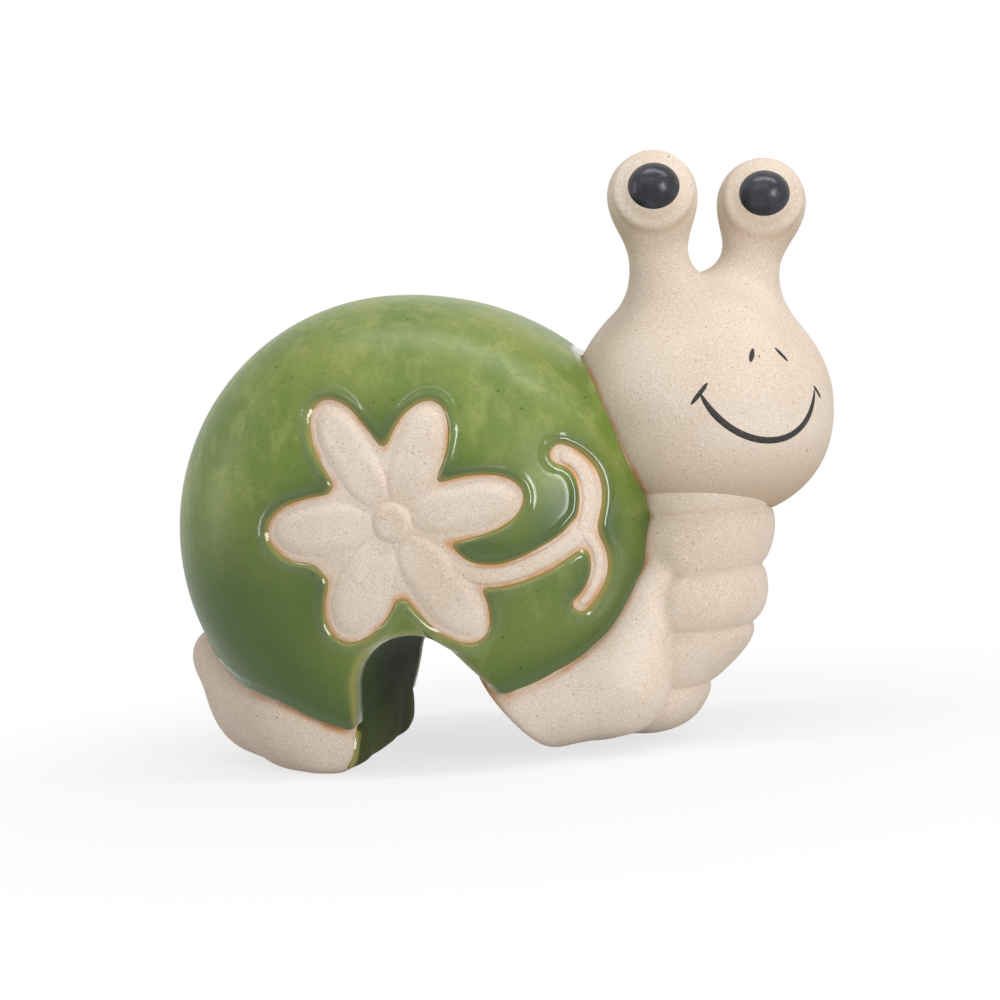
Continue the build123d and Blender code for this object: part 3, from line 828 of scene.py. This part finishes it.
# Pooled glaze is darker. The same mark also carries the painted shade towards the foot and the lower back
# of the shell.
pooled_and_shaded = (pool_and_shade + cloud * 0.7 - 0.35).ramp(0.30, 1.15) * 0.92
tint = pooled_and_shaded.blend(tint, paint(58, 84, 12))
tint = (spots(canvas, place, 230, 0.085, 0.9) * 0.75).blend(tint, paint(50, 48, 14))
tint = (spots(canvas, place, 420, 0.12, 0.6) * 0.55).blend(tint, paint(66, 66, 20))
tint = (slot_edge * 0.65).blend(tint, paint(160, 154, 84))
thin_edge = 1 - edge_gap.ramp(0.1, 1.1)
tint = (thin_edge * 0.75).blend(tint, paint(152, 132, 54))
beaded = 1 - edge_gap.ramp(2.2, 4.0)
ripple = canvas.node("Bump", {}, {"Strength": 0.05, "Distance": 0.0006, "Height": mist})
glass = canvas.node(
    "BsdfPrincipled",
    {},
    {
        "Base Color": tint,
        "Roughness": 0.34 + grain * 0.06 - beaded * 0.28,
        "Normal": ripple,
        "IOR": 1.5,
        "Coat Weight": beaded * 0.5,
        "Coat Roughness": 0.05,
    },
)
# Painted shade: the slot's wall and the tail's front face take this darker, duller copy of the glaze in
# place of the shade inside the slot, and painted bounce light makes it paler near the floor.
wall_shade_tint = cloud.ramp(0.3, 0.7).blend(paint(40, 54, 18), paint(58, 72, 30))
height = canvas.node("SeparateXYZ", {}, {0: place}, 2)
wall_shade_tint = (height.ramp(0.024, 0.002) * 0.6).blend(wall_shade_tint, paint(92, 102, 58))
shaded = canvas.node(
    "BsdfPrincipled",
    {},
    {"Base Color": wall_shade_tint, "Roughness": 0.5 + grain * 0.1, "Specular IOR Level": 0.02},
)
glaze_look = canvas.node("MixShader", {}, {0: slot_wall, 1: glass, 2: shaded})
canvas.node("OutputMaterial", {}, {"Surface": glaze_look})

wall_steps = 18
foot_blend_width, foot_blend_height, foot_thinning = 6, 9, 0.75
glaze_base = horseshoe(400, 176, 36, wall_steps, slot_radius)
edge_gaps = glaze_reach(glaze_base)
wall_share = np.clip(1 - np.abs(steep_wall(glaze_base)) / foot_blend_width, 0, 1)
above_foot = (glaze_base[..., 2] - wall_foot) / foot_blend_height
foot_share = wall_share * np.clip(1 - above_foot, 0, 1)
glaze_lift = coat(edge_gaps) * (1 - foot_thinning * foot_share)
glaze_skin = glaze_base + grid_normals(glaze_base) * glaze_lift[..., None]
glaze_skin[[0, -1]] = glaze_base[[0, -1]].mean(1, keepdims=True)
glaze_faces = quads(*glaze_skin.shape[:2], closed_columns=True)
lining_least, lining_swell, lining_swell_width = 0.15, 0.8, 8
lining_depth, lining_inset, lining_foot, lining_edge = 2.6, 0.6, 1.2, 0.6


def lining_field(p):
    """The coat on the tail's front face: a thin plate that follows the steep wall and its rounded foot, a
    little within the face's outline, and swells away from that outline."""
    inside = -tail_lobe(p)
    share = np.clip(inside / lining_swell_width, 0, 1)
    front = tail_wall(p) - lining_least - lining_swell * share**2 * (3 - 2 * share)
    plate = np.maximum(front, -(steep_wall(p) + lining_depth))
    inner = soft_cut(plate, lining_inset - inside, lining_edge)
    return soft_cut(inner, lining_foot - p[..., 2], lining_edge)


lining, lining_faces = skin(lining_field, (-46, -40, -1), (-33, 41, 30), 0.6)
under_shell = np.clip(-shell_field(lining) / 2 - 0.5, 0, 1)
lining_gaps = np.maximum(-tail_lobe(lining) - lining_inset, 0) + 4 * under_shell
glaze_points = np.concatenate([glaze_skin.reshape(-1, 3), lining])
lining_faces = lining_faces + glaze_skin[..., 0].size
columns = glaze_base.shape[1]
wall_marks = np.broadcast_to(np.arange(columns) >= columns - wall_steps, edge_gaps.shape)
glaze_marks = {
    "edge_gap": np.concatenate([edge_gaps.ravel(), lining_gaps.ravel()]),
    "slot_wall": np.concatenate([wall_marks.ravel(), np.minimum(lining_gaps, 1)]),
    "slot_edge": np.concatenate([lip_share(glaze_base).ravel(), np.zeros(lining_gaps.size)]),
    "pool_and_shade": np.concatenate([pooling_and_shade(glaze_base).ravel(), np.zeros(lining_gaps.size)]),
}
glaze_faces = np.concatenate([glaze_faces, lining_faces])
make_piece("shell_glaze", glaze_points, glaze_faces, glaze, ["shell_glaze"], glaze_marks)


def glaze_edge_gap(p):
    """Distance of a point of the bare clay from the glaze's edge on the shell, which its toasting
    follows."""
    return -glaze_reach(p)


shell_marks = bare_marks(shell_skin, glaze_edge_gap)
make_piece("shell_casting", shell_skin, shell_faces, clay, ["shell_casting"], shell_marks)
for name, (points, faces) in zip(flower_names, flower_forms):
    make_piece(name, points, faces, clay, [name], bare_marks(points, glaze_edge_gap))

# The pupils: two black domes, pressed into the bulbs and glazed with a satin black slip. Both look at the
# viewer, a little upwards.

pupil_side = np.cross(pupil_look, (0, 0, 1))
pupil_side = pupil_side / np.linalg.norm(pupil_side)
pupil_up = np.cross(pupil_side, pupil_look)
pupil_width, pupil_height, pupil_dome, pupil_rise = 9.0, 8.1, 1.9, 0.5

black, canvas = new_finish("satin_black_glaze")
place = canvas.node("TexCoord", {}, {}, 3)
cloud = canvas.node("TexNoise", {}, {"Vector": place, "Scale": 300, "Detail": 3})
grain = canvas.node("TexNoise", {}, {"Vector": place, "Scale": 1800, "Detail": 2})
tint = cloud.ramp(0.35, 0.7).blend(paint(24, 26, 33), paint(46, 48, 57))
lumps = canvas.node("TexNoise", {}, {"Vector": place, "Scale": 700, "Detail": 2})
bumps = canvas.node("Bump", {}, {"Strength": 0.25, "Distance": 0.0003, "Height": lumps + grain * 0.3})
satin = canvas.node(
    "BsdfPrincipled",
    {},
    {"Base Color": tint, "Roughness": 0.2 + cloud * 0.12, "Normal": bumps, "IOR": 1.45},
)
canvas.node("OutputMaterial", {}, {"Surface": satin})

pupil_turn = np.linspace(0, 2 * np.pi, 72, endpoint=False)
pupil_reach = 1 / np.hypot(np.cos(pupil_turn) / pupil_width, np.sin(pupil_turn) / pupil_height)
for side, name in ((-1, "right_pupil"), (1, "left_pupil")):
    bulb = eye_middle + side * eye_offset

    def pupil_place(a, b, lift):
        aside = a[..., None] * pupil_side + (b[..., None] + pupil_rise) * pupil_up
        return settled(head_field, bulb + (pupil_look * bulb_radius + aside) * 0.98, lift)

    points, faces = pad(pupil_reach, pupil_place, pupil_dome, pupil_height)
    make_piece(name, points, faces, black, [name])

# The face lines: a smile with a tick at each corner, and two nostrils. They are scored into the soft head
# and filled with black underglaze, so they lie almost flush.

face_side, face_look = np.array([0.819, 0.574, 0.0]), np.array([0.574, -0.819, 0.0])
face_shift, line_rise, line_sink = 0.4, 0.22, 0.6
smile_side = (-18.0, -13.9, -8.8, -4.5, -0.1, 4.6, 8.4, 11.7, 16.8)
smile_up = (4.3, -2.5, -7.0, -9.4, -10.3, -9.9, -8.4, -5.3, 3.0)
face_lines = {
    "smile_line": (list(zip(smile_side, smile_up)), 1.9, 10.0),
    "right_smile_tick": (((-15.5, 6.5), (-17.6, 3.9), (-20.2, 0.7)), 1.2, 5.0),
    "left_smile_tick": (((16.2, 3.3), (17.8, 1.5), (19.2, -0.5)), 1.0, 3.0),
    "right_nostril": (((-1.4, 14.8), (-2.5, 12.9), (-3.7, 10.7)), 1.6, 3.0),
    "left_nostril": (((5.2, 14.6), (6.8, 12.5), (8.6, 10.1)), 1.2, 4.0),
}

ink, canvas = new_finish("black_underglaze")
place = canvas.node("TexCoord", {}, {}, 3)
grain = canvas.node("TexNoise", {}, {"Vector": place, "Scale": 1600, "Detail": 3})
tint = grain.ramp(0.45, 0.75).blend(paint(30, 27, 26), paint(72, 64, 58))
bumps = canvas.node("Bump", {}, {"Strength": 0.2, "Distance": 0.0002, "Height": grain})
dull_sockets = {"Base Color": tint, "Roughness": 0.55 + grain * 0.2, "Normal": bumps}
dull = canvas.node("BsdfPrincipled", {}, dull_sockets)
canvas.node("OutputMaterial", {}, {"Surface": dull})


def face_place(a, b, lift):
    """Points of the head's skin in front of places in the upright plane through its centre that the face
    looks along."""
    flat = head_centre + (a[..., None] + face_shift) * face_side + b[..., None] * np.array([0.0, 0.0, 1.0])
    depth = np.sqrt(np.maximum(head_radius**2 - a**2 - (b * head_radius / head_above) ** 2, 1))
    return settled(head_field, flat + depth[..., None] * face_look, lift)


for name, (points, width, taper) in face_lines.items():
    line = smooth_line(points, 90)
    points, faces = raised_line(line, width, face_place, line_rise, line_sink, taper)
    make_piece(name, points, faces, ink, [name])
